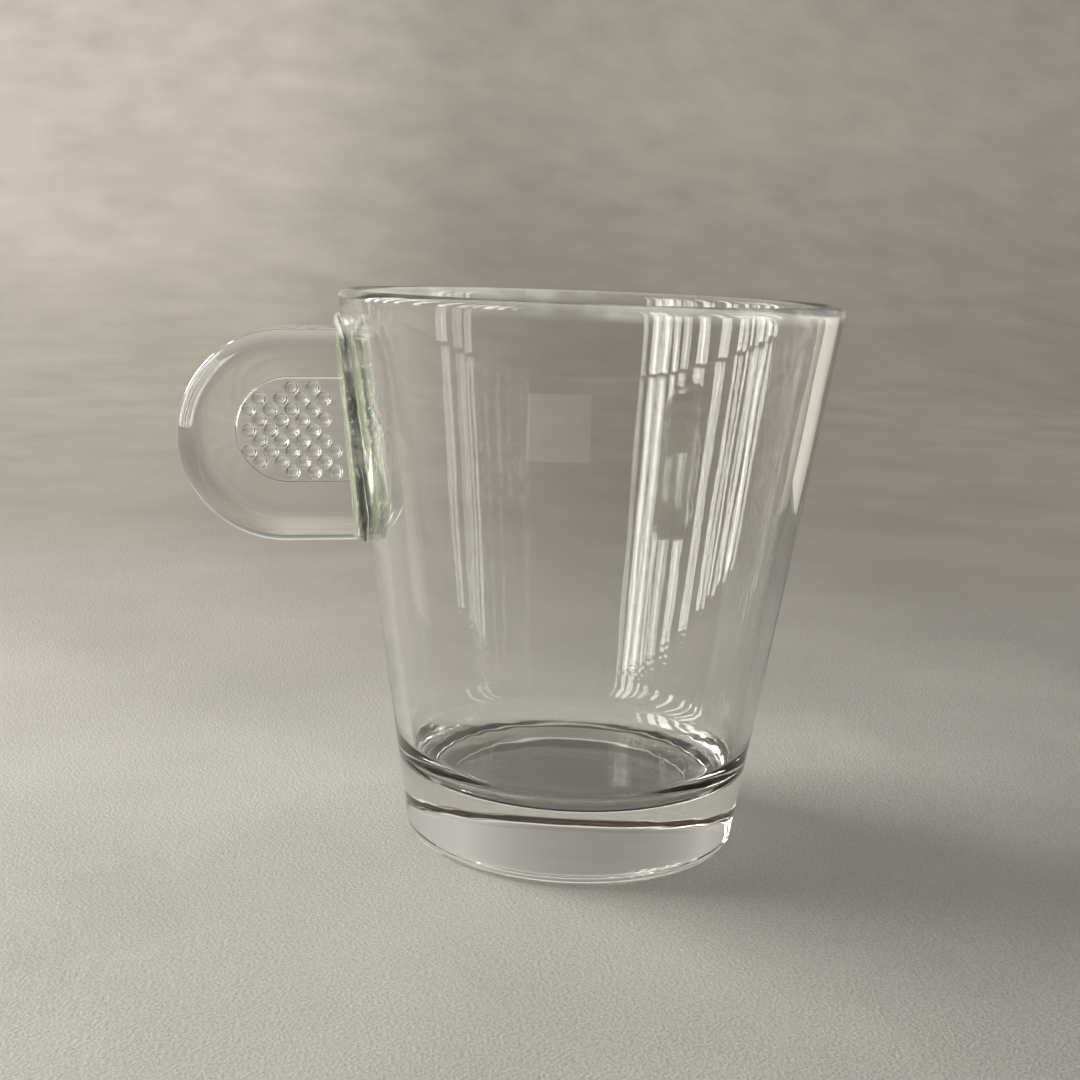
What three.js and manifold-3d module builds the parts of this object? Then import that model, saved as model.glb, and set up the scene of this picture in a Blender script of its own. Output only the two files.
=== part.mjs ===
// Clear-glass espresso cup: a tapered glass with a solid base, a bonded pinch-tab handle and a frosted square.
// Millimetres, +Z up. The origin is the centre of the flat underside, and the handle points along -X.
import * as THREE from 'three';
import { mergeVertices } from 'three/addons/utils/BufferGeometryUtils.js';
import Module from 'manifold-3d';

// Cup body
const CUP_HEIGHT = 66.3;
const RIM_DIAMETER = 60;
const FOOT_DIAMETER = 41; // where the outer cone would meet the standing plane
const WALL_THICKNESS = 1.9; // square to the wall
const BASE_THICKNESS = 8.4;
const HEEL_RADIUS = 1; // outer rounding between wall and underside
const FLOOR_FILLET = 5.3; // inner rounding between wall and floor

// Handle tab
const TAB_HEIGHT = 25;
const TAB_REACH = 20.5; // from the wall to the tip, along the tab
const TAB_CENTRE_HEIGHT = 49.4; // where the tab's centre line meets the wall
const TAB_THICKNESS = 12;
const TAB_EDGE_RADIUS = 2.8;
const TAB_DROOP = THREE.MathUtils.degToRad(1.5);
const PANEL_BORDER = 6.2; // from the tab's outline to the sunk panel
const PANEL_DEPTH = 0.9;

// Grip bumps, in staggered rows on the panel
const BUMP_RADIUS = 0.86;
const BUMP_RISE = 0.5;
const BUMP_ROW_PITCH = 1.27;
const BUMP_COLUMN_PITCH = 2.55;
const BUMP_LEAD = 4.7; // outermost bump, from the centre of the round end
const BUMP_MARGIN = 0.02; // least gap between a bump and the panel's edge

// Bond between the tab's root and the wall
const BOND_TOP_GAP = 0.9; // wall to root, level with the tab's top edge
const BOND_BOTTOM_GAP = 1.7; // wall to root, level with the tab's bottom edge
const BOND_MARGIN = 1.1; // squeezed out past the tab's root, at its top and bottom
const BOND_SIDE_MARGIN = 1.5;
const BOND_LIFT = 0.5; // of the bond's middle over the tab's
const BOND_CORNER = 4;
const BOND_CLEARANCE = 0.15; // kept on each face of the bond

// Frosted square on the far side of the wall
const PATCH_SIDE = 9.4;
const PATCH_CENTRE_HEIGHT = 47.3;
const PATCH_THICKNESS = 0.15;
const PATCH_CLEARANCE = 0.15; // between the wall and the enamel

// Smoothness of the faceted solids
const ROUND_SEGMENTS = 96;
const ARC_STEP = THREE.MathUtils.degToRad(15);
const BEVEL_STEPS = 6;
const TAB_CURVE_SEGMENTS = 14;
const BUMP_SEGMENTS = 8;

const wasm = await Module();
wasm.setup();

// A closed geometry as a solid for joining and cutting.
function toSolid(geometry) {
  const bare = geometry.index ? geometry.toNonIndexed() : geometry.clone();
  bare.deleteAttribute('normal');
  bare.deleteAttribute('uv');
  const merged = mergeVertices(bare, 1e-4);
  const vertProperties = new Float32Array(merged.attributes.position.array);
  const triVerts = new Uint32Array(merged.index.array);
  const mesh = new wasm.Mesh({ numProp: 3, vertProperties, triVerts });
  mesh.merge();
  return new wasm.Manifold(mesh);
}

function toGeometry(solid) {
  const { numProp, vertProperties, triVerts } = solid.getMesh();
  const position = new Float32Array((vertProperties.length / numProp) * 3);
  for (let i = 0; i < position.length / 3; i += 1) {
    position.set(vertProperties.subarray(i * numProp, i * numProp + 3), i * 3);
  }
  const geometry = new THREE.BufferGeometry();
  geometry.setAttribute('position', new THREE.BufferAttribute(position, 3));
  geometry.setIndex(new THREE.BufferAttribute(new Uint32Array(triVerts), 1));
  geometry.computeVertexNormals();
  return geometry;
}

// A profile of (radius, height) points turned about +Z.
function turned(profile) {
  const geometry = new THREE.LatheGeometry(profile, ROUND_SEGMENTS);
  return geometry.rotateX(Math.PI / 2);
}

function arcPoints(centreR, centreZ, radius, from, to) {
  const points = [];
  const steps = Math.ceil(Math.abs(to - from) / ARC_STEP);
  for (let i = 0; i <= steps; i += 1) {
    const angle = from + ((to - from) * i) / steps;
    points.push(new THREE.Vector2(centreR + radius * Math.cos(angle), centreZ + radius * Math.sin(angle)));
  }
  return points;
}

// The arc that rounds off a left turn of a profile.
function roundedCorner(before, corner, after, radius) {
  const toBefore = before.clone().sub(corner).normalize();
  const toAfter = after.clone().sub(corner).normalize();
  const halfAngle = toBefore.angleTo(toAfter) / 2;
  const inward = toBefore.clone().add(toAfter).setLength(radius / Math.sin(halfAngle));
  const centre = corner.clone().add(inward);
  const touch = corner.clone().addScaledVector(toBefore, radius / Math.tan(halfAngle));
  const start = touch.sub(centre).angle();
  return arcPoints(centre.x, centre.y, radius, start, start + Math.PI - 2 * halfAngle);
}

// The wall leans so that its outer line runs from the foot circle to a tangent of the round lip.
const footRadius = FOOT_DIAMETER / 2;
const lipRadius = WALL_THICKNESS / 2;
const lipCentreR = RIM_DIAMETER / 2 - lipRadius;
const lipCentreZ = CUP_HEIGHT - lipRadius;
const lipSpread = lipCentreR - footRadius;
const wallLean = Math.atan2(lipSpread, lipCentreZ) + Math.asin(lipRadius / Math.hypot(lipSpread, lipCentreZ));
const wallTaper = Math.tan(wallLean);

// Radius of the wall's outer face at a height.
function outerRadius(z) {
  return footRadius + z * wallTaper;
}

// Centre radius of a rounding whose centre lies at a depth behind the outer face, at a height.
function radiusBehindFace(depth, z) {
  return outerRadius(z) - depth / Math.cos(wallLean);
}

function cupBody() {
  const underside = new THREE.Vector2(0, 0);
  const heel = new THREE.Vector2(footRadius, 0);
  const lipOutside = arcPoints(lipCentreR, lipCentreZ, lipRadius, -wallLean, 0);
  const lipOver = arcPoints(lipCentreR, lipCentreZ, lipRadius, 0, Math.PI / 2);
  const lipInside = arcPoints(lipCentreR, lipCentreZ, lipRadius, Math.PI / 2, Math.PI - wallLean);
  const filletZ = BASE_THICKNESS + FLOOR_FILLET;
  const filletCentreR = radiusBehindFace(WALL_THICKNESS + FLOOR_FILLET, filletZ);
  const profile = [
    underside,
    ...roundedCorner(underside, heel, lipOutside[0], HEEL_RADIUS),
    ...lipOutside,
    ...lipOver.slice(1),
    ...lipInside.slice(1),
    ...arcPoints(filletCentreR, filletZ, FLOOR_FILLET, -wallLean, -Math.PI / 2),
    new THREE.Vector2(0, BASE_THICKNESS),
  ];
  return toGeometry(toSolid(turned(profile)));
}

// The inside of a cone that stands off the wall by one distance at each of two heights.
function coneOffWall(lowZ, lowOffset, highZ, highOffset) {
  const reach = highZ - lowZ;
  const bottomZ = lowZ - reach;
  const topZ = highZ + reach;
  const drift = (highOffset - lowOffset) / reach;
  const profile = [
    new THREE.Vector2(0, bottomZ),
    new THREE.Vector2(outerRadius(bottomZ) + lowOffset - drift * reach, bottomZ),
    new THREE.Vector2(outerRadius(topZ) + highOffset + drift * reach, topZ),
    new THREE.Vector2(0, topZ),
  ];
  return toSolid(turned(profile));
}

// The tab lies in its own frame: x outward from the wall along its centre line, y up, z across its thickness.
const tabHalf = TAB_HEIGHT / 2;
const tabTopZ = TAB_CENTRE_HEIGHT + tabHalf;
const tabBottomZ = TAB_CENTRE_HEIGHT - tabHalf;
const tabWallX = outerRadius(TAB_CENTRE_HEIGHT);
const rootDepth = tabHalf * wallTaper + BOND_BOTTOM_GAP + TAB_EDGE_RADIUS; // hidden start, cut off at the root
const roundCentreX = TAB_REACH - tabHalf; // centre of the round end

// A D-shaped outline about the centre of the round end.
function tabOutline(halfHeight, startX) {
  const outline = new THREE.Shape();
  outline.moveTo(startX, -halfHeight);
  outline.lineTo(roundCentreX, -halfHeight);
  outline.absarc(roundCentreX, 0, halfHeight, -Math.PI / 2, Math.PI / 2, false);
  outline.lineTo(startX, halfHeight);
  outline.closePath();
  return outline;
}

// From the tab's frame to the cup's, where the tab points along -X and droops at its tip.
function placeTab(geometry) {
  return geometry
    .rotateX(Math.PI / 2)
    .rotateZ(Math.PI)
    .rotateY(-TAB_DROOP)
    .translate(-tabWallX, 0, TAB_CENTRE_HEIGHT);
}

function tabBlank() {
  const straight = TAB_THICKNESS - 2 * TAB_EDGE_RADIUS;
  const geometry = new THREE.ExtrudeGeometry(tabOutline(tabHalf, -rootDepth - TAB_EDGE_RADIUS), {
    depth: straight,
    bevelEnabled: true,
    bevelThickness: TAB_EDGE_RADIUS,
    bevelSize: TAB_EDGE_RADIUS,
    bevelOffset: -TAB_EDGE_RADIUS,
    bevelSegments: BEVEL_STEPS,
    curveSegments: TAB_CURVE_SEGMENTS,
  });
  return toSolid(placeTab(geometry.translate(0, 0, -straight / 2)));
}

// The panel is sunk in the +Y face, the side of the frosted square.
function panelCut() {
  const geometry = new THREE.ExtrudeGeometry(tabOutline(tabHalf - PANEL_BORDER, -rootDepth - TAB_EDGE_RADIUS), {
    depth: PANEL_DEPTH * 2,
    bevelEnabled: false,
    curveSegments: TAB_CURVE_SEGMENTS,
  });
  return toSolid(placeTab(geometry.translate(0, 0, TAB_THICKNESS / 2 - PANEL_DEPTH)));
}

// Centres of the bumps that fit on the panel, row by row up from the bottom.
function bumpCentres() {
  const centres = [];
  const reach = tabHalf - PANEL_BORDER - BUMP_RADIUS - BUMP_MARGIN;
  const rowsEachWay = Math.floor(reach / BUMP_ROW_PITCH);
  const columns = Math.ceil((roundCentreX + BUMP_LEAD) / BUMP_COLUMN_PITCH);
  for (let row = -rowsEachWay; row <= rowsEachWay; row += 1) {
    const y = row * BUMP_ROW_PITCH;
    const rootX = y * wallTaper + BOND_BOTTOM_GAP;
    const stagger = row % 2 === 0 ? 0 : BUMP_COLUMN_PITCH / 2;
    for (let column = 0; column <= columns; column += 1) {
      const x = roundCentreX + BUMP_LEAD - stagger - column * BUMP_COLUMN_PITCH;
      const onPanel = Math.hypot(Math.max(x - roundCentreX, 0), y) <= reach;
      if (onPanel && x > rootX + BUMP_RADIUS) centres.push(new THREE.Vector2(x, y));
    }
  }
  return centres;
}

function bump(centre) {
  const sphereRadius = (BUMP_RADIUS ** 2 + BUMP_RISE ** 2) / (2 * BUMP_RISE);
  const geometry = new THREE.SphereGeometry(sphereRadius, BUMP_SEGMENTS, BUMP_SEGMENTS / 2);
  geometry.rotateX(Math.PI / 2);
  const level = TAB_THICKNESS / 2 - PANEL_DEPTH + BUMP_RISE - sphereRadius;
  return toSolid(placeTab(geometry.translate(centre.x, centre.y, level)));
}

function handle() {
  let solid = tabBlank().subtract(panelCut());
  for (const centre of bumpCentres()) solid = solid.add(bump(centre));
  return toGeometry(solid.subtract(coneOffWall(tabBottomZ, BOND_BOTTOM_GAP, tabTopZ, BOND_TOP_GAP)));
}

// A rectangle with round corners, centred on the origin.
function roundedRectangle(width, height, corner) {
  const x = width / 2;
  const y = height / 2;
  const shape = new THREE.Shape();
  shape.moveTo(-x + corner, -y);
  shape.lineTo(x - corner, -y);
  shape.absarc(x - corner, -y + corner, corner, -Math.PI / 2, 0, false);
  shape.lineTo(x, y - corner);
  shape.absarc(x - corner, y - corner, corner, 0, Math.PI / 2, false);
  shape.lineTo(-x + corner, y);
  shape.absarc(-x + corner, y - corner, corner, Math.PI / 2, Math.PI, false);
  shape.lineTo(-x, -y + corner);
  shape.absarc(-x + corner, -y + corner, corner, Math.PI, 1.5 * Math.PI, false);
  return shape;
}

function handleBond() {
  const width = TAB_THICKNESS + 2 * BOND_SIDE_MARGIN;
  const height = TAB_HEIGHT + 2 * BOND_MARGIN;
  const geometry = new THREE.ExtrudeGeometry(roundedRectangle(width, height, BOND_CORNER), {
    depth: 2 * tabWallX,
    bevelEnabled: false,
    curveSegments: BEVEL_STEPS,
  });
  geometry.rotateX(Math.PI / 2).rotateZ(-Math.PI / 2).translate(0, 0, TAB_CENTRE_HEIGHT + BOND_LIFT);
  const bead = toSolid(geometry);
  const outside = coneOffWall(
    tabBottomZ,
    BOND_BOTTOM_GAP - BOND_CLEARANCE,
    tabTopZ,
    BOND_TOP_GAP - BOND_CLEARANCE,
  );
  const inside = coneOffWall(tabBottomZ, BOND_CLEARANCE, tabTopZ, BOND_CLEARANCE);
  return toGeometry(bead.intersect(outside).subtract(inside));
}

function printPatch() {
  const halfSide = PATCH_SIDE / 2;
  const geometry = new THREE.BoxGeometry(PATCH_SIDE, RIM_DIAMETER, PATCH_SIDE);
  geometry.translate(0, RIM_DIAMETER / 2, PATCH_CENTRE_HEIGHT);
  const lowZ = PATCH_CENTRE_HEIGHT - halfSide;
  const highZ = PATCH_CENTRE_HEIGHT + halfSide;
  const outerOffset = PATCH_CLEARANCE + PATCH_THICKNESS;
  const outside = coneOffWall(lowZ, outerOffset, highZ, outerOffset);
  const inside = coneOffWall(lowZ, PATCH_CLEARANCE, highZ, PATCH_CLEARANCE);
  return toGeometry(toSolid(geometry).intersect(outside).subtract(inside));
}

const clearGlass = new THREE.MeshStandardMaterial({ color: 0xdfe6dc, roughness: 0.04, metalness: 0 });
const tabGlass = new THREE.MeshStandardMaterial({ color: 0xd9e2d8, roughness: 0.06, metalness: 0 });
const bondGlass = new THREE.MeshStandardMaterial({ color: 0x5c6a58, roughness: 0.2, metalness: 0 });
const frostedEnamel = new THREE.MeshStandardMaterial({ color: 0xbdbab4, roughness: 0.7, metalness: 0 });

const cup = new THREE.Group();
const pieces = [
  ['cup_body', cupBody(), clearGlass],
  ['handle', handle(), tabGlass],
  ['handle_bond', handleBond(), bondGlass],
  ['print_patch', printPatch(), frostedEnamel],
];
for (const [name, geometry, material] of pieces) {
  const mesh = new THREE.Mesh(geometry, material);
  mesh.name = name;
  cup.add(mesh);
}

export default cup;
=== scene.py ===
# Clear-glass espresso cup on a pale sheet. Metres, +Z up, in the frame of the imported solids.
import math

import bmesh
import bpy
import numpy as np
from mathutils import Matrix, Vector


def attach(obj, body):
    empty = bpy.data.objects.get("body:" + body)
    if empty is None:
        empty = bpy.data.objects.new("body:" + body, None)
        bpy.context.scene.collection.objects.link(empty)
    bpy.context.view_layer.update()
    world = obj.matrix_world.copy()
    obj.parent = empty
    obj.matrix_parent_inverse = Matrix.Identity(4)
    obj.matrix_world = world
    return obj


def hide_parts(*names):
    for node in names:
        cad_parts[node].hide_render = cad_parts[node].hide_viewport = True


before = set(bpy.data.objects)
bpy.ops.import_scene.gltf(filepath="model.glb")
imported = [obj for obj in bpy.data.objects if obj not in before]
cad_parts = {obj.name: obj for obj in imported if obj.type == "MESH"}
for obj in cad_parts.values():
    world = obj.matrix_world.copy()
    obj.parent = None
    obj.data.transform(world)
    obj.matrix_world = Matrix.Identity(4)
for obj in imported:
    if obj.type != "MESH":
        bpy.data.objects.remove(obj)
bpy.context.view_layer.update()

MM = 0.001

# Cup body
CUP_HEIGHT = 66.3 * MM
RIM_DIAMETER = 60 * MM
FOOT_DIAMETER = 41 * MM  # where the outer cone would meet the standing plane
WALL_THICKNESS = 1.9 * MM
BASE_THICKNESS = 8.4 * MM
HEEL_RADIUS = 1 * MM
FLOOR_FILLET = 5.3 * MM
RECESS_RADIUS = 15.2 * MM  # shallow hollow inside the standing ring
RECESS_DEPTH = 0.15 * MM
RECESS_EDGE = 0.06 * MM

# Handle tab
TAB_HEIGHT = 25 * MM
TAB_REACH = 20.5 * MM
TAB_CENTRE_HEIGHT = 49.4 * MM
TAB_THICKNESS = 12 * MM
TAB_EDGE_RADIUS = 2.8 * MM
TAB_DROOP = math.radians(1.5)
PANEL_BORDER = 6.2 * MM
PANEL_DEPTH = 0.9 * MM
PANEL_DRAFT = 0.1 * MM  # how far the step leans in over its depth
PANEL_LIP_RADIUS = 0.15 * MM
PANEL_FOOT_RADIUS = 0.1 * MM

# Grip bumps
BUMP_RADIUS = 0.86 * MM
BUMP_RISE = 0.5 * MM
BUMP_ROW_PITCH = 1.27 * MM
BUMP_COLUMN_PITCH = 2.55 * MM
BUMP_LEAD = 4.7 * MM
BUMP_MARGIN = 0.02 * MM

# Bond between the tab's root and the wall
BOND_TOP_GAP = 0.9 * MM
BOND_BOTTOM_GAP = 1.7 * MM
BOND_MARGIN = 1.1 * MM
BOND_SIDE_MARGIN = 1.5 * MM
BOND_LIFT = 0.5 * MM
BOND_CORNER = 4 * MM
BOND_FLAT_SHARE = 0.9  # of the way from the bond's middle to its round edge
BOND_RAGGED = 0.6 * MM  # how far the bond's edge wanders in
BOND_MEAN_WANDER = 0.5  # share of that, on average
BOND_WANDERS = [(0.25, 9, 1), (0.2, 23, 0), (0.12, 41, 2)]  # share, waves round the edge, start angle
BOND_HALF_WIDTH = TAB_THICKNESS / 2 + BOND_SIDE_MARGIN
BOND_SQUARENESS = 4  # power of the oval that stands for the bond on the cup's face
CONTACT_GAP = 0.02 * MM  # between faces that touch on the real cup

# Frosted square on the far side
PATCH_SIDE = 9.4 * MM
PATCH_CENTRE_HEIGHT = 47.3 * MM
PATCH_THICKNESS = 0.1 * MM

# Fineness of the meshes
CUP_SEGMENTS = 256
WALL_STEPS = 40
LIP_STEPS = 24
FILLET_STEPS = 20
HEEL_STEPS = 16
FLOOR_STEPS = 8
STANDING_RING_STEPS = 6
RECESS_EDGE_STEPS = 4
TAB_EDGE_POINTS = 24
TAB_RUN_POINTS = 60
TAB_ROUND_POINTS = 160
TAB_ROOT_POINTS = 13
PANEL_LIP_POINTS = 5
PANEL_FLOOR_POINTS = 48
BOND_SEGMENTS = 240
BOND_FLAT_POINTS = 20
BOND_EDGE_POINTS = 11
PATCH_STEPS = 24
ROOT_ROUNDS = 6  # of the search for the tab's root face
OUTLINE_ROUNDS = 40  # of the search for the bond's edge
WELD_DISTANCE = 0.0005 * MM

# Below, a noise has a scale and a detail. A ramp has the two ends of its input and the value at each.

# Glass: its tints, the inner ones with a density, and its waves, with a height and a noise scale
GLASS_IOR = 1.51
GLASS_BOUNCES = 32
CUP_TINT = (0.94, 0.94, 0.925, 1)
TAB_TINT = (0.98, 0.99, 0.98, 1)
BEAD_TINT = (0.95, 0.97, 0.92, 1)
GLASS_INNER_TINT = ((0.87, 0.9, 0.82, 1), 3)
BOND_INNER_TINT = ((0.6, 0.63, 0.5, 1), 10)
CUP_WAVES = (0.03 * MM, 160)
TAB_WAVES = (0.02 * MM, 120)
BEAD_WAVES = (0.1 * MM, 600)
WAVE_DETAIL = 2
WAVE_STRETCH = (1, 1, 0.18)
SMEAR_NOISE = (90, 4)
SMEAR_ROUGHNESS = (0.55, 0.8, 0, 0.05)
LIGHT_PASSED = (6 * MM, 12 * MM, 0.35, 0.7)  # to what lies behind the glass, by height

# Ripples low on the wall
RIPPLE_PITCH = 1.1 * MM
RIPPLE_NOISE = (60, 2)
RIPPLE_DRIFT = 9
RIPPLE_FADE = (12 * MM, 26 * MM, 0.03, 0)  # share of the waves' height, by height on the wall

# Painted shade: a dark line along the foot's edge, mostly on the far side, that stands in for the contact
# shadow seen through the glass
FOOT_SHADE_BOTTOM = 0.02 * MM
FOOT_SHADE_TOP = 0.42 * MM
FOOT_SHADE_NOISE = (500, 3)
FOOT_SHADE_TOPS = (0.3, 0.7, 0.7 * FOOT_SHADE_TOP, FOOT_SHADE_TOP)
FOOT_SHADE_SHARE = (-5 * MM, 5 * MM, 0.15, 0.95)  # from the near side to the far side
FOOT_SHADE_COLOUR = (0.07, 0.045, 0.035, 1)

# Painted glints: pale translucent dashes on the lip's round top that stand in for its bright glints
LIP_GLINT_NOISE = (260, 4)
LIP_GLINT_SHARE = (0.45, 0.65, 0.06, 0.2)
LIP_GLINT_COLOUR = (0.95, 0.95, 0.9, 1)

# Bubbles and haze in the bond
BUBBLE_COLOUR = (0.97, 0.98, 0.95, 1)
BUBBLE_ROUGHNESS = 0.12
BUBBLE_CELL_SCALE = 1300
BUBBLE_SIZE = 0.28  # share of a cell
HAZE_NOISE = (420, 3)
HAZE_SHARE = (0.4, 0.7, 0.25, 0.65)
HAZE_BY_RIM = (0.6 * BOND_HALF_WIDTH, 0.8 * BOND_HALF_WIDTH, 0.3, 1)
BEAD_CLOUD_SHARE = (0.4, 0.65, 0.03, 0.4)
MILK_COLOUR = (0.95, 0.95, 0.86, 1)
MILK_BACK_SHARE = 0.5

# Enamel of the square: its tones are pairs of a noise value and a colour
ENAMEL_GRAIN = (2500, 3)
ENAMEL_TONES = [(0.35, (0.78, 0.77, 0.75, 1)), (0.65, (0.92, 0.91, 0.89, 1))]
ENAMEL_BACK_SHARE = 0.35
ENAMEL_SHARE = 0.07

# Shape of the sheet
AIR_GAP = 0.05 * MM  # between the standing face and the sheet
SHEET_HALF_WIDTH = 2
SHEET_FLAT_EDGES = (-1.5, -0.5, 0)
SWEEP_START = 0.5
SWEEP_RADIUS = 1
SWEEP_TURN = math.radians(50)
SWEEP_STEPS = 32

# Tones of the sheet, with painted light and shade: pairs as above, then ramps along X, Y or Z, or away from
# the cup's axis
SHEET_ROUGHNESS = 0.9
SHEET_SPECULAR = 0.2
SHEET_GRAIN = (2600, 3)
SHEET_GRAIN_SHARE = 0.6
SHEET_GRAIN_HEIGHT = 0.2 * MM
SHEET_GRAIN_STRENGTH = 0.5
SHEET_CLOUD = (25, 3)
SHEET_TONES = [(0.3, (0.36, 0.347, 0.32, 1)), (0.7, (0.53, 0.511, 0.471, 1))]
# Painted shade: the sheet grows darker and warmer towards the back.
SHEET_BACK_SHADE = [(0, (1, 1, 1, 1)), (1, (0.68, 0.65, 0.62, 1))]
SHEET_DEPTH = (0.02, 0.22, 0, 1)
# Painted light: paler on the lamp's side, and on the backdrop paler upward.
SHEET_NEAR = (-0.15, 0.15, 1.5, 0.5)
SHEET_FAR_LEFT = (-0.1, 0.04, 1.2, 0.83)
SHEET_FAR_RIGHT = (0.1, 0.25, 0, 0.12)
SHEET_LEFT_TO_RIGHT = (-0.3, 0.1, 0, 1)
SHEET_RISE_LEFT = (0, 0.07, 1, 1.3)
SHEET_RISE_RIGHT = (0, 0.2, 1, 1.6)
# Painted shadow under the cup, seen only through the glass.
SHEET_PAINTED_SHADOW = (0.017, 0.02, 0.45, 1)
# Painted shade: darker far out towards the lamp.
SHEET_SHADE_BY_LAMP = (-1.4, -0.45, 0.2, 1)

# Room, and the pale room that the glass shows, with ramps along the direction's Y or Z
ROOM_COLOUR = (0.62, 0.6, 0.57, 1)
ROOM_STRENGTH = 0.55
PALE_COLOUR = (0.95, 0.935, 0.86, 1)
PALE_OVER_SHEET = (0.4, 0.5, 0.26, 0.62)
PALE_BESIDE = (0.75, 0.95, 0.62, 0.26)
PALE_ABOVE = (0.5, 0.65, 0, 0.38)
PALE_BEHIND = (-0.4, 0.1, 0.2, 1)
FIRST_BOUNCE = 0.5  # between no diffuse bounce and one

# Lamps, with azimuths in degrees
SIDE_LIGHT = {
    "azimuth": 112,
    "distance": 1.8,
    "bottom": 0.1,
    "top": 1.5,
    "width": 1.4,
    "radiance": 13.5,
    "colour": (1, 0.995, 0.97),
}
LIMB_CARD = {
    "azimuth": -130,
    "distance": 0.2,
    "bottom": 0,
    "top": 0.05,
    "width": 0.07,
    "radiance": 0.6,
    "colour": (1, 0.97, 0.84),
}
PANE = {"distance": 0.8, "bottom": 0.005, "top": 0.7, "colour": (1, 0.98, 0.94)}

# Tall panes of light: name, azimuth, width and radiance
LIGHT_PANES = [
    ("pane_a", 40, 0.02, 7),
    ("pane_b", 46, 0.05, 11),
    ("pane_c", 52, 0.06, 14),
    ("pane_d", 58, 0.03, 12),
    ("pane_e", 64, 0.05, 8),
    ("pane_f", 74, 0.05, 14),
    ("pane_g", 88, 0.05, 14),
    ("pane_h", 100, 0.04, 12),
    ("pane_i", 108, 0.03, 12),
    ("pane_j", 115, 0.04, 12),
    ("pane_k", 122, 0.05, 13),
    ("pane_l", -62, 0.03, 5),
    ("pane_m", -69, 0.05, 3.5),
    ("pane_n", -80, 0.04, 5),
]

# Camera of the portrait
CAMERA_DISTANCE = 176 * MM  # level, from the cup's axis
CAMERA_HEIGHT = 70.82 * MM
CAMERA_ROUND = math.radians(8.3)  # about the axis, from -Y towards the handle
CAMERA_PITCH = math.radians(11.083)  # looking down
CAMERA_YAW = math.radians(6.676)  # from +Y towards +X
CAMERA_ROLL = math.radians(2.122)
CAMERA_LENS = 48.35
CAMERA_SENSOR = 36
CAMERA_CLIP_START = 10 * MM

# The wall leans so that its outer line runs from the foot circle to a tangent of the round lip.
foot_radius = FOOT_DIAMETER / 2
lip_radius = WALL_THICKNESS / 2
lip_centre_r = RIM_DIAMETER / 2 - lip_radius
lip_centre_z = CUP_HEIGHT - lip_radius
lip_spread = lip_centre_r - foot_radius
lip_bend = math.asin(lip_radius / math.hypot(lip_spread, lip_centre_z))
wall_lean = math.atan2(lip_spread, lip_centre_z) + lip_bend
wall_taper = math.tan(wall_lean)

tab_half = TAB_HEIGHT / 2
tab_bottom_z = TAB_CENTRE_HEIGHT - tab_half


def outer_radius(z):
    """Radius of the wall's outer face at a height."""
    return foot_radius + z * wall_taper


def radius_behind_face(depth, z):
    """Radius of a point that lies at a depth behind the outer face."""
    return outer_radius(z) - depth / math.cos(wall_lean)


def bond_gap(z):
    """Distance from the wall to the tab's root at a height."""
    share = (z - tab_bottom_z) / TAB_HEIGHT
    return BOND_BOTTOM_GAP + share * (BOND_TOP_GAP - BOND_BOTTOM_GAP)


tab_wall_x = outer_radius(TAB_CENTRE_HEIGHT)
round_centre_x = TAB_REACH - tab_half


def new_mesh(name, vertices, faces, slots=None):
    """A smooth mesh object from vertex and face lists, with a material slot for each face."""
    mesh = bpy.data.meshes.new(name)
    mesh.from_pydata([tuple(v) for v in vertices], [], faces)
    mesh.polygons.foreach_set("use_smooth", [True] * len(mesh.polygons))
    if slots:
        mesh.polygons.foreach_set("material_index", slots)
    mesh.update()
    piece = bpy.data.objects.new(name, mesh)
    bpy.context.scene.collection.objects.link(piece)
    return piece


def grid_faces(base, rows, columns):
    """Faces of a grid of vertices that starts at a base index."""
    corners = [base + row * columns + column for row in range(rows - 1) for column in range(columns - 1)]
    return [(a, a + 1, a + columns + 1, a + columns) for a in corners]


def weld(piece):
    """Joins doubled vertices, drops faces that collapsed and points all faces out."""
    work = bmesh.new()
    work.from_mesh(piece.data)
    bmesh.ops.remove_doubles(work, verts=work.verts, dist=WELD_DISTANCE)
    bmesh.ops.dissolve_degenerate(work, edges=work.edges, dist=WELD_DISTANCE)
    bmesh.ops.recalc_face_normals(work, faces=work.faces)
    for face in work.faces:
        face.smooth = True
    work.to_mesh(piece.data)
    work.free()


def arc(centre_r, centre_z, radius, start, end, steps):
    """Points of a round stretch, with its ends."""
    angles = np.linspace(start, end, steps + 1)
    return [(centre_r + radius * math.cos(a), centre_z + radius * math.sin(a)) for a in angles]


def rounded_corner(before, corner, after, radius, steps):
    """The arc that rounds off a corner of a profile."""
    before, corner, after = np.array(before), np.array(corner), np.array(after)
    to_before = (before - corner) / np.linalg.norm(before - corner)
    to_after = (after - corner) / np.linalg.norm(after - corner)
    half_angle = math.acos(to_before @ to_after) / 2
    inward = (to_before + to_after) / np.linalg.norm(to_before + to_after)
    centre = corner + inward * radius / math.sin(half_angle)
    first = corner + to_before * radius / math.tan(half_angle) - centre
    start = math.atan2(first[1], first[0])
    turn = to_after[0] * to_before[1] - to_after[1] * to_before[0]
    sweep = math.copysign(math.pi - 2 * half_angle, turn)
    return arc(centre[0], centre[1], radius, start, start + sweep, steps)


def line(start, end, steps):
    """Points between two ends, without the ends."""
    shares = np.linspace(0, 1, steps + 1)[1:-1]
    return [(start[0] + s * (end[0] - start[0]), start[1] + s * (end[1] - start[1])) for s in shares]


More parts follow.
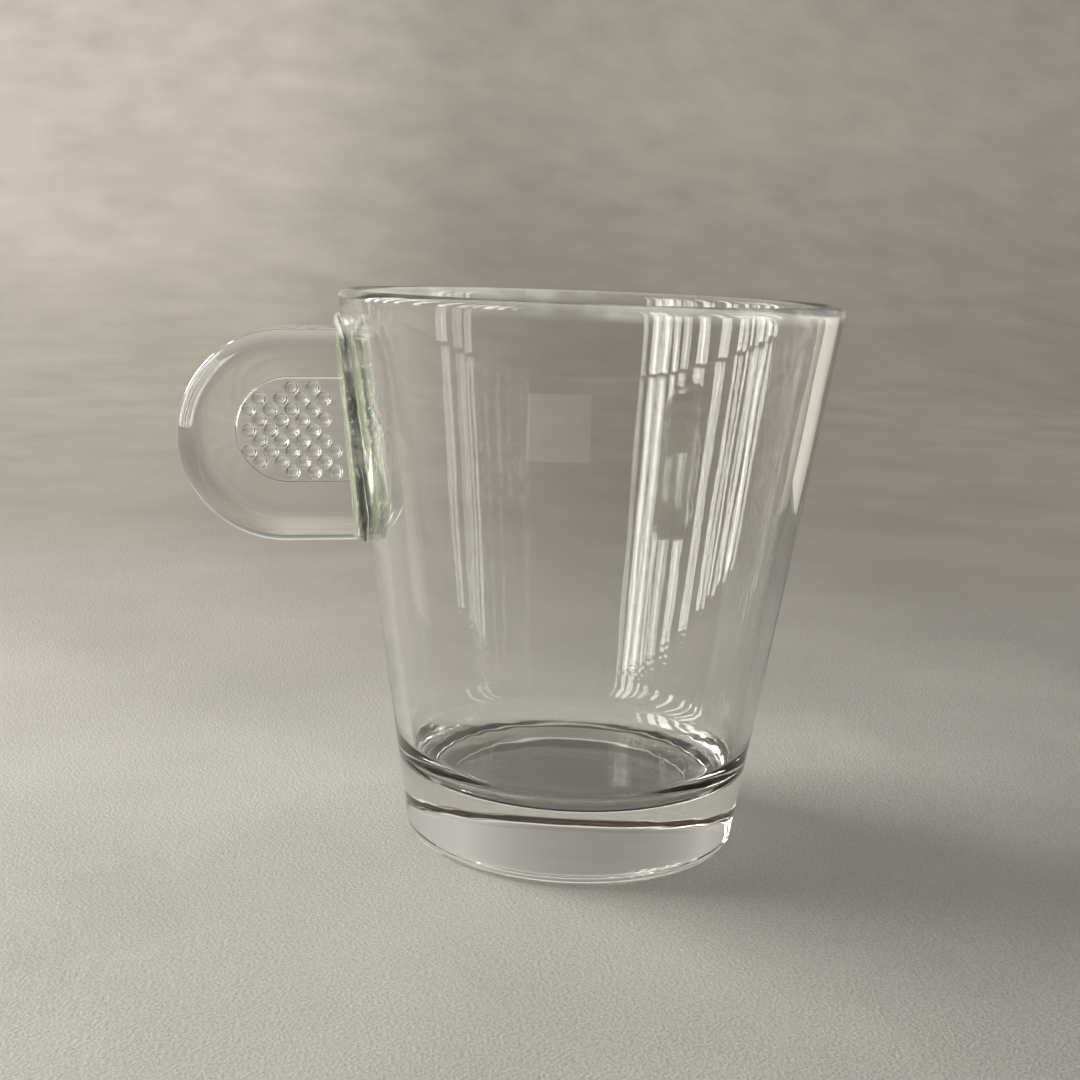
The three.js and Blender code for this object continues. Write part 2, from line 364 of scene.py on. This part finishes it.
def turned(name, profile, segments):
    """A profile from axis to axis, turned about +Z."""
    rings = profile[1:-1]
    angles = np.arange(segments) * 2 * math.pi / segments
    vertices = [(r * math.cos(a), r * math.sin(a), z) for r, z in rings for a in angles]
    low = len(vertices)
    high = low + 1
    vertices += [(0, 0, profile[0][1]), (0, 0, profile[-1][1])]
    faces = []
    last = (len(rings) - 1) * segments
    for i in range(segments):
        j = (i + 1) % segments
        for row in range(len(rings) - 1):
            base = row * segments
            faces.append((base + i, base + j, base + segments + j, base + segments + i))
        faces.append((low, j, i))
        faces.append((high, last + i, last + j))
    return new_mesh(name, vertices, faces)


def cup_body():
    """The pressed body: base, wall and lip, turned from one profile."""
    hollow = (0, RECESS_DEPTH)
    hollow_edge = (RECESS_RADIUS - RECESS_DEPTH, RECESS_DEPTH)
    ring_edge = (RECESS_RADIUS, 0)
    foot = (foot_radius, 0)
    fillet_z = BASE_THICKNESS + FLOOR_FILLET
    fillet_r = radius_behind_face(WALL_THICKNESS + FLOOR_FILLET, fillet_z)
    lip = arc(lip_centre_r, lip_centre_z, lip_radius, -wall_lean, math.pi - wall_lean, LIP_STEPS)
    fillet = arc(fillet_r, fillet_z, FLOOR_FILLET, -wall_lean, -math.pi / 2, FILLET_STEPS)
    edge = rounded_corner(hollow, hollow_edge, ring_edge, RECESS_EDGE, RECESS_EDGE_STEPS)
    ring = rounded_corner(hollow_edge, ring_edge, foot, RECESS_EDGE, RECESS_EDGE_STEPS)
    heel = rounded_corner(ring_edge, foot, lip[0], HEEL_RADIUS, HEEL_STEPS)
    floor = (0, BASE_THICKNESS)
    profile = [hollow, *line(hollow, edge[0], FLOOR_STEPS), *edge, *ring]
    profile += [*line(ring[-1], heel[0], STANDING_RING_STEPS), *heel]
    profile += [*line(heel[-1], lip[0], WALL_STEPS), *lip]
    profile += [*line(lip[-1], fillet[0], WALL_STEPS), *fillet]
    profile += [*line(fillet[-1], floor, FLOOR_STEPS), floor]
    return turned("glass_cup", profile, CUP_SEGMENTS)


def tab_to_cup(x, y, z):
    """From the tab's frame, x outward, y up and z across, to the cup's."""
    return np.stack(
        [
            -(tab_wall_x + x * math.cos(TAB_DROOP) + y * math.sin(TAB_DROOP)),
            z,
            TAB_CENTRE_HEIGHT - x * math.sin(TAB_DROOP) + y * math.cos(TAB_DROOP),
        ],
        axis=-1,
    )


def root_x(y, z):
    """Where the tab's root face lies, in the tab's frame."""
    x = np.zeros_like(y)
    for _ in range(ROOT_ROUNDS):
        height = TAB_CENTRE_HEIGHT - x * math.sin(TAB_DROOP) + y * math.cos(TAB_DROOP)
        reach = np.sqrt((outer_radius(height) + bond_gap(height)) ** 2 - z**2)
        x = (reach - tab_wall_x - y * math.sin(TAB_DROOP)) / math.cos(TAB_DROOP)
    return x


def bump_centres():
    """Middles of the staggered grip bumps, in the tab's frame."""
    centres = []
    reach = tab_half - PANEL_BORDER - BUMP_RADIUS - BUMP_MARGIN
    rows_each_way = int(reach / BUMP_ROW_PITCH)
    columns = math.ceil((round_centre_x + BUMP_LEAD) / BUMP_COLUMN_PITCH)
    for row in range(-rows_each_way, rows_each_way + 1):
        y = row * BUMP_ROW_PITCH
        stagger = BUMP_COLUMN_PITCH / 2 if row % 2 else 0
        for column in range(columns + 1):
            x = round_centre_x + BUMP_LEAD - stagger - column * BUMP_COLUMN_PITCH
            on_panel = math.hypot(max(x - round_centre_x, 0), y) <= reach
            if on_panel and x > y * wall_taper + BOND_BOTTOM_GAP + BUMP_RADIUS:
                centres.append((x, y))
    return centres


def bump_height(x, y):
    """Height of the grip bumps over the panel's floor."""
    sphere = (BUMP_RADIUS**2 + BUMP_RISE**2) / (2 * BUMP_RISE)
    height = np.zeros_like(x)
    for centre_x, centre_y in bump_centres():
        distance = np.hypot(x - centre_x, y - centre_y)
        cap = np.sqrt(np.maximum(sphere**2 - distance**2, 0)) - (sphere - BUMP_RISE)
        height = np.maximum(height, cap)
    return height


def tab_section():
    """Inset from the tab's outline and half thickness, from the edge to the panel's floor."""
    straight = TAB_THICKNESS / 2 - TAB_EDGE_RADIUS
    turn = np.linspace(0, math.pi / 2, TAB_EDGE_POINTS)
    inset = list(TAB_EDGE_RADIUS * (1 - np.cos(turn)))
    half = list(straight + TAB_EDGE_RADIUS * np.sin(turn))
    top = TAB_THICKNESS / 2
    floor = top - PANEL_DEPTH
    lip = np.linspace(0, math.pi / 2, PANEL_LIP_POINTS)
    inset += list(PANEL_BORDER - PANEL_LIP_RADIUS + PANEL_LIP_RADIUS * np.sin(lip))
    half += list(top - PANEL_LIP_RADIUS * (1 - np.cos(lip)))
    foot = PANEL_BORDER + PANEL_DRAFT
    inset += list(foot + PANEL_FOOT_RADIUS * (1 - np.cos(lip)))
    half += list(floor + PANEL_FOOT_RADIUS * (1 - np.sin(lip)))
    flat = np.linspace(foot + PANEL_FOOT_RADIUS, tab_half, PANEL_FLOOR_POINTS)[1:]
    inset += list(flat)
    half += [floor] * len(flat)
    return np.array(inset), np.array(half)


def handle():
    """The tab: two faces that run round its outline, a seam between them and a cap at the root."""
    inset, half = tab_section()
    rows = len(inset)
    run = np.linspace(0, 1, TAB_RUN_POINTS)
    turn = np.linspace(math.pi / 2, -math.pi / 2, TAB_ROUND_POINTS)
    columns = 2 * len(run) + len(turn) - 2
    spread = (tab_half - inset)[:, None]
    plain_half = np.where(inset > TAB_EDGE_RADIUS, TAB_THICKNESS / 2, half)
    on_floor = (inset >= PANEL_BORDER + PANEL_DRAFT + PANEL_FOOT_RADIUS)[:, None]
    vertices = []
    for side, level in ((1, half[:, None]), (-1, plain_half[:, None])):
        start = root_x(spread, level)
        top_x = start + (round_centre_x - start) * run[None, :-1]
        start = root_x(-spread, level)
        low_x = start + (round_centre_x - start) * run[None, -2::-1]
        x = np.hstack([top_x, round_centre_x + spread * np.cos(turn), low_x])
        y = np.hstack([spread + 0 * top_x, spread * np.sin(turn), -spread + 0 * low_x])
        z = side * level + np.where(on_floor & (side > 0), bump_height(x, y), 0)
        vertices.append(tab_to_cup(x, y, z).reshape(-1, 3))
    faces = grid_faces(0, rows, columns) + grid_faces(rows * columns, rows, columns)
    for column in range(columns - 1):
        other = rows * columns + column
        faces.append((column, column + 1, other + 1, other))
    across = np.linspace(1, 0, TAB_ROOT_POINTS)
    rises = np.concatenate([tab_half - inset, -(tab_half - inset)[-2::-1]])
    far = np.concatenate([half, half[-2::-1]])[:, None]
    near = -np.concatenate([plain_half, plain_half[-2::-1]])[:, None]
    cap_y = np.repeat(rises[:, None], len(across), axis=1)
    cap_z = near + (far - near) * across[None, :]
    vertices.append(tab_to_cup(root_x(cap_y, cap_z), cap_y, cap_z).reshape(-1, 3))
    cap_faces = grid_faces(2 * rows * columns, len(rises), len(across))
    slots = [0] * len(faces) + [1] * len(cap_faces)
    piece = new_mesh("glass_tab_handle", np.vstack(vertices), faces + cap_faces, slots)
    weld(piece)
    return piece


def bond_outline(angles):
    """Distance from the bond's centre to its edge: a rounded rectangle with a slightly uneven rim."""
    half_height = tab_half + BOND_MARGIN
    reach = []
    for angle in angles:
        low, high = 0.0, BOND_HALF_WIDTH + half_height
        for _ in range(OUTLINE_ROUNDS):
            middle = (low + high) / 2
            over_y = max(abs(middle * math.cos(angle)) - BOND_HALF_WIDTH + BOND_CORNER, 0)
            over_z = max(abs(middle * math.sin(angle)) - half_height + BOND_CORNER, 0)
            inside = math.hypot(over_y, over_z) <= BOND_CORNER
            low, high = (middle, high) if inside else (low, middle)
        wander = sum(share * math.sin(waves * angle + start) for share, waves, start in BOND_WANDERS)
        reach.append(low - (BOND_MEAN_WANDER + wander) * BOND_RAGGED)
    return np.array(reach)


def handle_bond():
    """The bead that fills the gap between the wall and the tab, round at its edge."""
    rim = 1 - BOND_FLAT_SHARE
    edge = BOND_FLAT_SHARE + rim * np.sin(np.linspace(0, math.pi / 2, BOND_EDGE_POINTS)[1:])
    shares = np.concatenate([np.linspace(0, BOND_FLAT_SHARE, BOND_FLAT_POINTS), edge])
    angles = np.arange(BOND_SEGMENTS) * 2 * math.pi / BOND_SEGMENTS
    reach = bond_outline(angles)
    y = shares[:, None] * (reach * np.cos(angles))[None, :]
    z = TAB_CENTRE_HEIGHT + BOND_LIFT + shares[:, None] * (reach * np.sin(angles))[None, :]
    swell = np.sqrt(np.clip(1 - (np.maximum(shares - BOND_FLAT_SHARE, 0) / rim) ** 2, 0, 1))[:, None]
    middle = bond_gap(z) / 2
    thick = (middle - CONTACT_GAP) * swell
    inner = np.stack([-np.sqrt((outer_radius(z) + middle - thick) ** 2 - y**2), y, z], axis=-1)
    outer = np.stack([-np.sqrt((outer_radius(z) + middle + thick) ** 2 - y**2), y, z], axis=-1)
    vertices = np.vstack([inner.reshape(-1, 3), outer.reshape(-1, 3)])
    rows = len(shares)
    faces = []
    slots = []
    for base in (0, rows * BOND_SEGMENTS):
        for row in range(rows - 1):
            a = base + row * BOND_SEGMENTS
            b = a + BOND_SEGMENTS
            for i in range(BOND_SEGMENTS):
                j = (i + 1) % BOND_SEGMENTS
                faces.append((a + i, a + j, b + j, b + i))
                slots.append(1 if shares[row + 1] <= BOND_FLAT_SHARE else 0)
    piece = new_mesh("bond_bead", vertices, faces, slots)
    weld(piece)
    return piece


def print_patch():
    """The thin square, which follows the wall."""
    width = PATCH_STEPS + 1
    count = width * width
    side = np.linspace(-PATCH_SIDE / 2, PATCH_SIDE / 2, width)
    across, up = np.meshgrid(side, PATCH_CENTRE_HEIGHT + side)
    sheets = []
    for offset in (CONTACT_GAP, CONTACT_GAP + PATCH_THICKNESS):
        out = np.sqrt((outer_radius(up) + offset) ** 2 - across**2)
        sheets.append(np.stack([across, out, up], axis=-1).reshape(-1, 3))
    faces = grid_faces(0, width, width) + grid_faces(count, width, width)
    rim = [*range(PATCH_STEPS), *range(PATCH_STEPS, count - 1, width)]
    rim += [*range(count - 1, count - width, -1), *range(count - width, 0, -width)]
    for a, b in zip(rim, rim[1:] + rim[:1]):
        faces.append((a, b, b + count, a + count))
    piece = new_mesh("frosted_square", np.vstack(sheets), faces)
    weld(piece)
    return piece


def material(name):
    """An empty node material and its node tree."""
    surface = bpy.data.materials.new(name)
    surface.use_nodes = True
    surface.node_tree.nodes.clear()
    return surface, surface.node_tree


def add_node(tree, kind, inputs=None, operation=None):
    """A new node, with a link or a constant on each of the given inputs."""
    node = tree.nodes.new(kind)
    if operation:
        node.operation = operation
    for key, value in (inputs or {}).items():
        if isinstance(value, bpy.types.NodeSocket):
            tree.links.new(value, node.inputs[key])
        else:
            node.inputs[key].default_value = value
    return node


def show(tree, face, body=None):
    """Puts a face, and a body where there is one, on the material's output."""
    output = add_node(tree, "ShaderNodeOutputMaterial", {"Surface": face})
    if body is not None:
        tree.links.new(body, output.inputs["Volume"])


def position(tree):
    """A place in the cup's frame."""
    return add_node(tree, "ShaderNodeTexCoord").outputs["Object"]


def axes(tree, vector):
    """The X, Y and Z of a vector."""
    return add_node(tree, "ShaderNodeSeparateXYZ", {"Vector": vector}).outputs


def axis_distance(tree, place):
    """Distance from the cup's axis."""
    level = add_node(tree, "ShaderNodeVectorMath", {0: place, 1: (1, 1, 0)}, "MULTIPLY")
    length = add_node(tree, "ShaderNodeVectorMath", {0: level.outputs["Vector"]}, "LENGTH")
    return length.outputs["Value"]


def noise(tree, vector, scale, detail):
    """Smooth random values between 0 and 1."""
    inputs = {"Vector": vector, "Scale": scale, "Detail": detail}
    return add_node(tree, "ShaderNodeTexNoise", inputs).outputs["Fac"]


def math_node(tree, operation, *values):
    """A math node on sockets or plain numbers."""
    return add_node(tree, "ShaderNodeMath", dict(enumerate(values)), operation).outputs["Value"]


def product(tree, first, *others):
    """Several values multiplied."""
    for other in others:
        first = math_node(tree, "MULTIPLY", first, other)
    return first


def ramp(tree, value, low, high, at_low, at_high):
    """A value moved from one range to another, with its ends held."""
    inputs = {"Value": value, "From Min": low, "From Max": high, "To Min": at_low, "To Max": at_high}
    return add_node(tree, "ShaderNodeMapRange", inputs).outputs["Result"]


def colour_ramp(tree, value, stops):
    """A colour that runs between two stops, each a position and a colour."""
    node = add_node(tree, "ShaderNodeValToRGB", {"Fac": value})
    for element, (place, colour) in zip(node.color_ramp.elements, stops):
        element.position = place
        element.color = colour
    return node.outputs["Color"]


def blended(tree, share, first, second):
    """Two values mixed, by the second one's share."""
    return add_node(tree, "ShaderNodeMix", {"Factor": share, "A": first, "B": second}).outputs["Result"]


def mixed(tree, share, first, second):
    """Two shaders mixed, by the second one's share."""
    return add_node(tree, "ShaderNodeMixShader", {"Fac": share, 1: first, 2: second}).outputs["Shader"]


def shader(tree, kind, inputs=None):
    """A surface shader."""
    return add_node(tree, "ShaderNodeBsdf" + kind, inputs).outputs["BSDF"]


def depth_tint(tree, colour, density):
    """A colour that grows with the depth of the glass."""
    inputs = {"Color": colour, "Density": density}
    return add_node(tree, "ShaderNodeVolumeAbsorption", inputs).outputs["Volume"]


def milky(tree, colour, back_share):
    """A cloudy face, which scatters part of the light back and the rest on."""
    through = shader(tree, "Translucent", {"Color": colour})
    back = shader(tree, "Diffuse", {"Color": colour})
    return mixed(tree, back_share, through, back)


def bonded_face(tree, place):
    """Where two pieces of glass are bonded: light goes straight on, apart from bubbles and milky haze."""
    bubble_inputs = {
        "Base Color": BUBBLE_COLOUR,
        "Transmission Weight": 1,
        "Roughness": BUBBLE_ROUGHNESS,
        "IOR": GLASS_IOR,
    }
    bubble = shader(tree, "Principled", bubble_inputs)
    cells = add_node(tree, "ShaderNodeTexVoronoi", {"Vector": place, "Scale": BUBBLE_CELL_SCALE})
    spots = math_node(tree, "LESS_THAN", cells.outputs["Distance"], BUBBLE_SIZE)
    from_middle = math_node(tree, "ABSOLUTE", axes(tree, place)["Y"])
    by_rim = ramp(tree, from_middle, *HAZE_BY_RIM)
    haze = ramp(tree, noise(tree, place, *HAZE_NOISE), *HAZE_SHARE)
    milk = milky(tree, MILK_COLOUR, MILK_BACK_SHARE)
    hazy = mixed(tree, product(tree, haze, by_rim), shader(tree, "Transparent"), milk)
    return mixed(tree, product(tree, spots, by_rim), hazy, bubble)


def lip_glints(tree, place):
    """How much of the lip's round top gets painted glints: pale translucent dashes in place of its bright
    glints.
    """
    top = ramp(tree, axes(tree, place)["Z"], CUP_HEIGHT - WALL_THICKNESS, lip_centre_z, 0, 1)
    dashes = ramp(tree, noise(tree, place, *LIP_GLINT_NOISE), *LIP_GLINT_SHARE)
    return product(tree, top, dashes)


def oval_share(tree, offset, half_size):
    """One axis of a squarish oval, from 0 at its middle to 1 at its edge."""
    power = math_node(tree, "POWER", math_node(tree, "ABSOLUTE", offset), BOND_SQUARENESS)
    return math_node(tree, "DIVIDE", power, half_size**BOND_SQUARENESS)


def under_bond(tree, place):
    """One on the part of the cup's outer face that the bond covers, and zero elsewhere."""
    x, y, z = axes(tree, place)
    rise = math_node(tree, "SUBTRACT", z, TAB_CENTRE_HEIGHT + BOND_LIFT)
    across = oval_share(tree, y, BOND_HALF_WIDTH - BOND_RAGGED)
    up = oval_share(tree, rise, tab_half + BOND_MARGIN - BOND_RAGGED)
    within = math_node(tree, "LESS_THAN", math_node(tree, "ADD", across, up), 1)
    wall_middle = math_node(tree, "MULTIPLY_ADD", z, wall_taper, foot_radius - WALL_THICKNESS / 2)
    outer = math_node(tree, "GREATER_THAN", axis_distance(tree, place), wall_middle)
    handle_side = math_node(tree, "LESS_THAN", x, 0)
    return product(tree, within, outer, handle_side)


def foot_shade_line(tree, place):
    """How much painted shade lies along the foot's edge: a thin dark line, most of it on the far side, in
    place of the contact shadow seen through the glass.
    """
    _, y, z = axes(tree, place)
    top = ramp(tree, noise(tree, place, *FOOT_SHADE_NOISE), *FOOT_SHADE_TOPS)
    below = math_node(tree, "LESS_THAN", z, top)
    above = math_node(tree, "GREATER_THAN", z, FOOT_SHADE_BOTTOM)
    inner_edge = foot_radius - 2 * HEEL_RADIUS
    by_edge = math_node(tree, "GREATER_THAN", axis_distance(tree, place), inner_edge)
    return product(tree, below, above, by_edge, ramp(tree, y, *FOOT_SHADE_SHARE))


def ripples(tree, place):
    """Fine level ripples low on the wall, which fade out upwards."""
    z = axes(tree, place)["Z"]
    drift = math_node(tree, "MULTIPLY", noise(tree, place, *RIPPLE_NOISE), RIPPLE_DRIFT)
    turns = math_node(tree, "MULTIPLY_ADD", z, 2 * math.pi / RIPPLE_PITCH, drift)
    return product(tree, math_node(tree, "SINE", turns), ramp(tree, z, *RIPPLE_FADE))


def lit_through(tree, place, face):
    """Lets the lamps light what lies behind the glass, less of it through the thick base."""
    passed = ramp(tree, axes(tree, place)["Z"], *LIGHT_PASSED)
    path = add_node(tree, "ShaderNodeLightPath")
    return mixed(tree, path.outputs["Is Shadow Ray"], face, shader(tree, "Transparent", {"Color": passed}))


def cup_marks(tree, place, face):
    """Marks on the cup's glass: painted shade along the foot's edge, painted glints on the lip and the
    bonded part.
    """
    # Painted shade: a dark line along the foot that stands in for the contact shadow.
    face = mixed(tree, foot_shade_line(tree, place), face, shader(tree, "Diffuse", {"Color": FOOT_SHADE_COLOUR}))
    # Painted glints: pale translucent dashes on the lip.
    face = mixed(tree, lip_glints(tree, place), face, shader(tree, "Translucent", {"Color": LIP_GLINT_COLOUR}))
    return mixed(tree, under_bond(tree, place), face, bonded_face(tree, place))


def glass(name, tint, inner_tint, wave_height, wave_scale, is_cup=False, is_cloudy=False):
    """Clear glass with faint pressing waves, a few smears and a colour that grows with depth."""
    surface, tree = material(name)
    place = position(tree)
    stretched = add_node(tree, "ShaderNodeMapping", {"Vector": place, "Scale": WAVE_STRETCH})
    waves = noise(tree, stretched.outputs["Vector"], wave_scale, WAVE_DETAIL)
    if is_cup:
        waves = math_node(tree, "ADD", waves, ripples(tree, place))
    bump = add_node(tree, "ShaderNodeBump", {"Height": waves, "Distance": wave_height})
    inputs = {
        "Base Color": tint,
        "Transmission Weight": 1,
        "IOR": GLASS_IOR,
        "Roughness": ramp(tree, noise(tree, place, *SMEAR_NOISE), *SMEAR_ROUGHNESS),
        "Normal": bump.outputs["Normal"],
    }
    face = shader(tree, "Principled", inputs)
    if is_cup:
        face = cup_marks(tree, place, face)
    if is_cloudy:
        clouds = ramp(tree, noise(tree, place, *HAZE_NOISE), *BEAD_CLOUD_SHARE)
        face = mixed(tree, clouds, face, milky(tree, MILK_COLOUR, MILK_BACK_SHARE))
    show(tree, lit_through(tree, place, face), depth_tint(tree, *inner_tint))
    return surface


def contact(name, inner_tint):
    """The bonded faces of the tab's root and of the bead."""
    surface, tree = material(name)
    show(tree, bonded_face(tree, position(tree)), depth_tint(tree, *inner_tint))
    return surface


def frosted():
    """Thin matte enamel: mostly clear, with a milky share."""
    surface, tree = material("frosted_enamel")
    tone = colour_ramp(tree, noise(tree, position(tree), *ENAMEL_GRAIN), ENAMEL_TONES)
    enamel = milky(tree, tone, ENAMEL_BACK_SHARE)
    show(tree, mixed(tree, ENAMEL_SHARE, shader(tree, "Transparent"), enamel))
    return surface


def sheet_painted_light(tree, place, depth):
    """Painted light and shade on the sheet, as a factor: paler on the lamp's side and upward, darker far
    out towards the lamp and in a painted shadow under the cup.
    """
    x, _, z = axes(tree, place)
    far_side = math_node(tree, "ADD", ramp(tree, x, *SHEET_FAR_LEFT), ramp(tree, x, *SHEET_FAR_RIGHT))
    across = blended(tree, depth, ramp(tree, x, *SHEET_NEAR), far_side)
    rise_left = ramp(tree, z, *SHEET_RISE_LEFT)
    rise_right = ramp(tree, z, *SHEET_RISE_RIGHT)
    upward = blended(tree, ramp(tree, x, *SHEET_LEFT_TO_RIGHT), rise_left, rise_right)
    painted_shadow = ramp(tree, axis_distance(tree, place), *SHEET_PAINTED_SHADOW)
    shade_by_lamp = ramp(tree, x, *SHEET_SHADE_BY_LAMP)
    return product(tree, across, painted_shadow, shade_by_lamp, upward)


def sheet_paper():
    """The pale sheet under and behind the cup: matte, with a fine grain and painted light and shade, paler
    on the lamp's side and darker towards the back.
    """
    surface, tree = material("pale_sheet")
    place = position(tree)
    grain = noise(tree, place, *SHEET_GRAIN)
    cloud = math_node(tree, "MULTIPLY", noise(tree, place, *SHEET_CLOUD), 1 - SHEET_GRAIN_SHARE)
    mottle = math_node(tree, "MULTIPLY_ADD", grain, SHEET_GRAIN_SHARE, cloud)
    depth = ramp(tree, axes(tree, place)["Y"], *SHEET_DEPTH)
    tones = {0: colour_ramp(tree, mottle, SHEET_TONES), 1: colour_ramp(tree, depth, SHEET_BACK_SHADE)}
    faded = add_node(tree, "ShaderNodeVectorMath", tones, "MULTIPLY")
    # Painted light and shade scale the sheet's colour.
    scaling = {"Vector": faded.outputs["Vector"], "Scale": sheet_painted_light(tree, place, depth)}
    shaded = add_node(tree, "ShaderNodeVectorMath", scaling, "SCALE")
    relief = {"Height": grain, "Distance": SHEET_GRAIN_HEIGHT, "Strength": SHEET_GRAIN_STRENGTH}
    inputs = {
        "Base Color": shaded.outputs["Vector"],
        "Roughness": SHEET_ROUGHNESS,
        "Specular IOR Level": SHEET_SPECULAR,
        "Normal": add_node(tree, "ShaderNodeBump", relief).outputs["Normal"],
    }
    show(tree, shader(tree, "Principled", inputs))
    return surface


def stage():
    """One sheet that lies under the cup and sweeps up behind it."""
    start = -math.pi / 2
    curve = arc(SWEEP_START, SWEEP_RADIUS, SWEEP_RADIUS, start, start + SWEEP_TURN, SWEEP_STEPS)
    profile = [*((y, 0) for y in SHEET_FLAT_EDGES), *curve]
    vertices = [(side * SHEET_HALF_WIDTH, y, z - AIR_GAP) for y, z in profile for side in (-1, 1)]
    faces = [(2 * i, 2 * i + 1, 2 * i + 3, 2 * i + 2) for i in range(len(profile) - 1)]
    floor = new_mesh("stage_sheet", vertices, faces)
    floor.data.materials.append(sheet_paper())


def room():
    """A dim warm room, and a paler one that shows only in and through the glass."""
    world = bpy.data.worlds.new("soft_room")
    world.use_nodes = True
    tree = world.node_tree
    dim = tree.nodes["Background"]
    dim.inputs["Color"].default_value = ROOM_COLOUR
    dim.inputs["Strength"].default_value = ROOM_STRENGTH
    _, y, z = axes(tree, add_node(tree, "ShaderNodeTexCoord").outputs["Generated"])
    low = math_node(tree, "MAXIMUM", ramp(tree, z, *PALE_OVER_SHEET), ramp(tree, y, *PALE_BESIDE))
    level = math_node(tree, "ADD", low, ramp(tree, z, *PALE_ABOVE))
    strength = product(tree, level, ramp(tree, y, *PALE_BEHIND))
    pale = add_node(tree, "ShaderNodeBackground", {"Color": PALE_COLOUR, "Strength": strength})
    path = add_node(tree, "ShaderNodeLightPath").outputs
    in_glass = math_node(tree, "MAXIMUM", path["Is Glossy Ray"], path["Is Transmission Ray"])
    direct = math_node(tree, "LESS_THAN", path["Diffuse Depth"], FIRST_BOUNCE)
    shown = product(tree, in_glass, direct)
    both = mixed(tree, shown, dim.outputs["Background"], pale.outputs["Background"])
    tree.links.new(both, tree.nodes["World Output"].inputs["Surface"])
    bpy.context.scene.world = world


def lamp(name, azimuth, distance, bottom, top, width, radiance, colour):
    """An upright panel of light that faces the cup, at an azimuth from -Y towards the handle."""
    angle = math.radians(azimuth)
    place = Vector((-distance * math.sin(angle), -distance * math.cos(angle), (bottom + top) / 2))
    light = bpy.data.lights.new(name, "AREA")
    light.shape = "RECTANGLE"
    light.size = width
    light.size_y = top - bottom
    light.energy = math.pi * radiance * width * (top - bottom)
    light.color = colour
    item = bpy.data.objects.new(name, light)
    item.location = place
    item.rotation_euler = Vector((-place.x, -place.y, 0)).to_track_quat("-Z", "Y").to_euler()
    item.visible_camera = False
    bpy.context.scene.collection.objects.link(item)
    return item


def lamps():
    """Panes that show in the glass, a lamp that lights the sheet, and a card seen through the glass."""
    for name, azimuth, width, radiance in LIGHT_PANES:
        pane = lamp(name, azimuth=azimuth, width=width, radiance=radiance, **PANE)
        pane.visible_diffuse = False
    side = lamp("side_light", **SIDE_LIGHT)
    side.visible_glossy = False
    side.visible_transmission = False
    card = lamp("limb_card", **LIMB_CARD)
    card.visible_diffuse = False
    card.visible_glossy = False


def camera():
    """The portrait's camera, placed round the cup's axis."""
    ahead = Vector(
        (
            math.sin(CAMERA_YAW) * math.cos(CAMERA_PITCH),
            math.cos(CAMERA_YAW) * math.cos(CAMERA_PITCH),
            -math.sin(CAMERA_PITCH),
        )
    )
    level_right = Vector((math.cos(CAMERA_YAW), -math.sin(CAMERA_YAW), 0))
    level_up = level_right.cross(ahead)
    right = math.cos(CAMERA_ROLL) * level_right + math.sin(CAMERA_ROLL) * level_up
    up = math.cos(CAMERA_ROLL) * level_up - math.sin(CAMERA_ROLL) * level_right
    data = bpy.data.cameras.new("portrait")
    data.lens = CAMERA_LENS
    data.sensor_width = CAMERA_SENSOR
    data.clip_start = CAMERA_CLIP_START
    item = bpy.data.objects.new("portrait", data)
    turn = Matrix((right, up, -ahead)).transposed().to_4x4()
    side = -CAMERA_DISTANCE * math.sin(CAMERA_ROUND)
    back = -CAMERA_DISTANCE * math.cos(CAMERA_ROUND)
    item.matrix_world = Matrix.Translation((side, back, CAMERA_HEIGHT)) @ turn
    bpy.context.scene.collection.objects.link(item)
    bpy.context.scene.camera = item


def dress():
    """Makes the four pieces and hands each one over in place of its solid."""
    clear = glass("clear_glass", CUP_TINT, GLASS_INNER_TINT, *CUP_WAVES, is_cup=True)
    tab = glass("tab_glass", TAB_TINT, GLASS_INNER_TINT, *TAB_WAVES)
    root = contact("tab_root", GLASS_INNER_TINT)
    bead = glass("bond_glass", BEAD_TINT, BOND_INNER_TINT, *BEAD_WAVES, is_cloudy=True)
    bonded = contact("bead_contact", BOND_INNER_TINT)
    dressed = [
        (cup_body(), [clear], "cup_body", "cup_glass"),
        (handle(), [tab, root], "handle", "handle_glass"),
        (handle_bond(), [bead, bonded], "handle_bond", "bond"),
        (print_patch(), [frosted()], "print_patch", "frosted_print"),
    ]
    for piece, surfaces, node, slot in dressed:
        for surface in surfaces:
            piece.data.materials.append(surface)
        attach(piece, "root")
        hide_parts(node)


camera()
stage()
room()
lamps()
dress()

bpy.context.scene.cycles.max_bounces = GLASS_BOUNCES
bpy.context.scene.cycles.transmission_bounces = GLASS_BOUNCES
bpy.context.scene.view_settings.view_transform = "Standard"
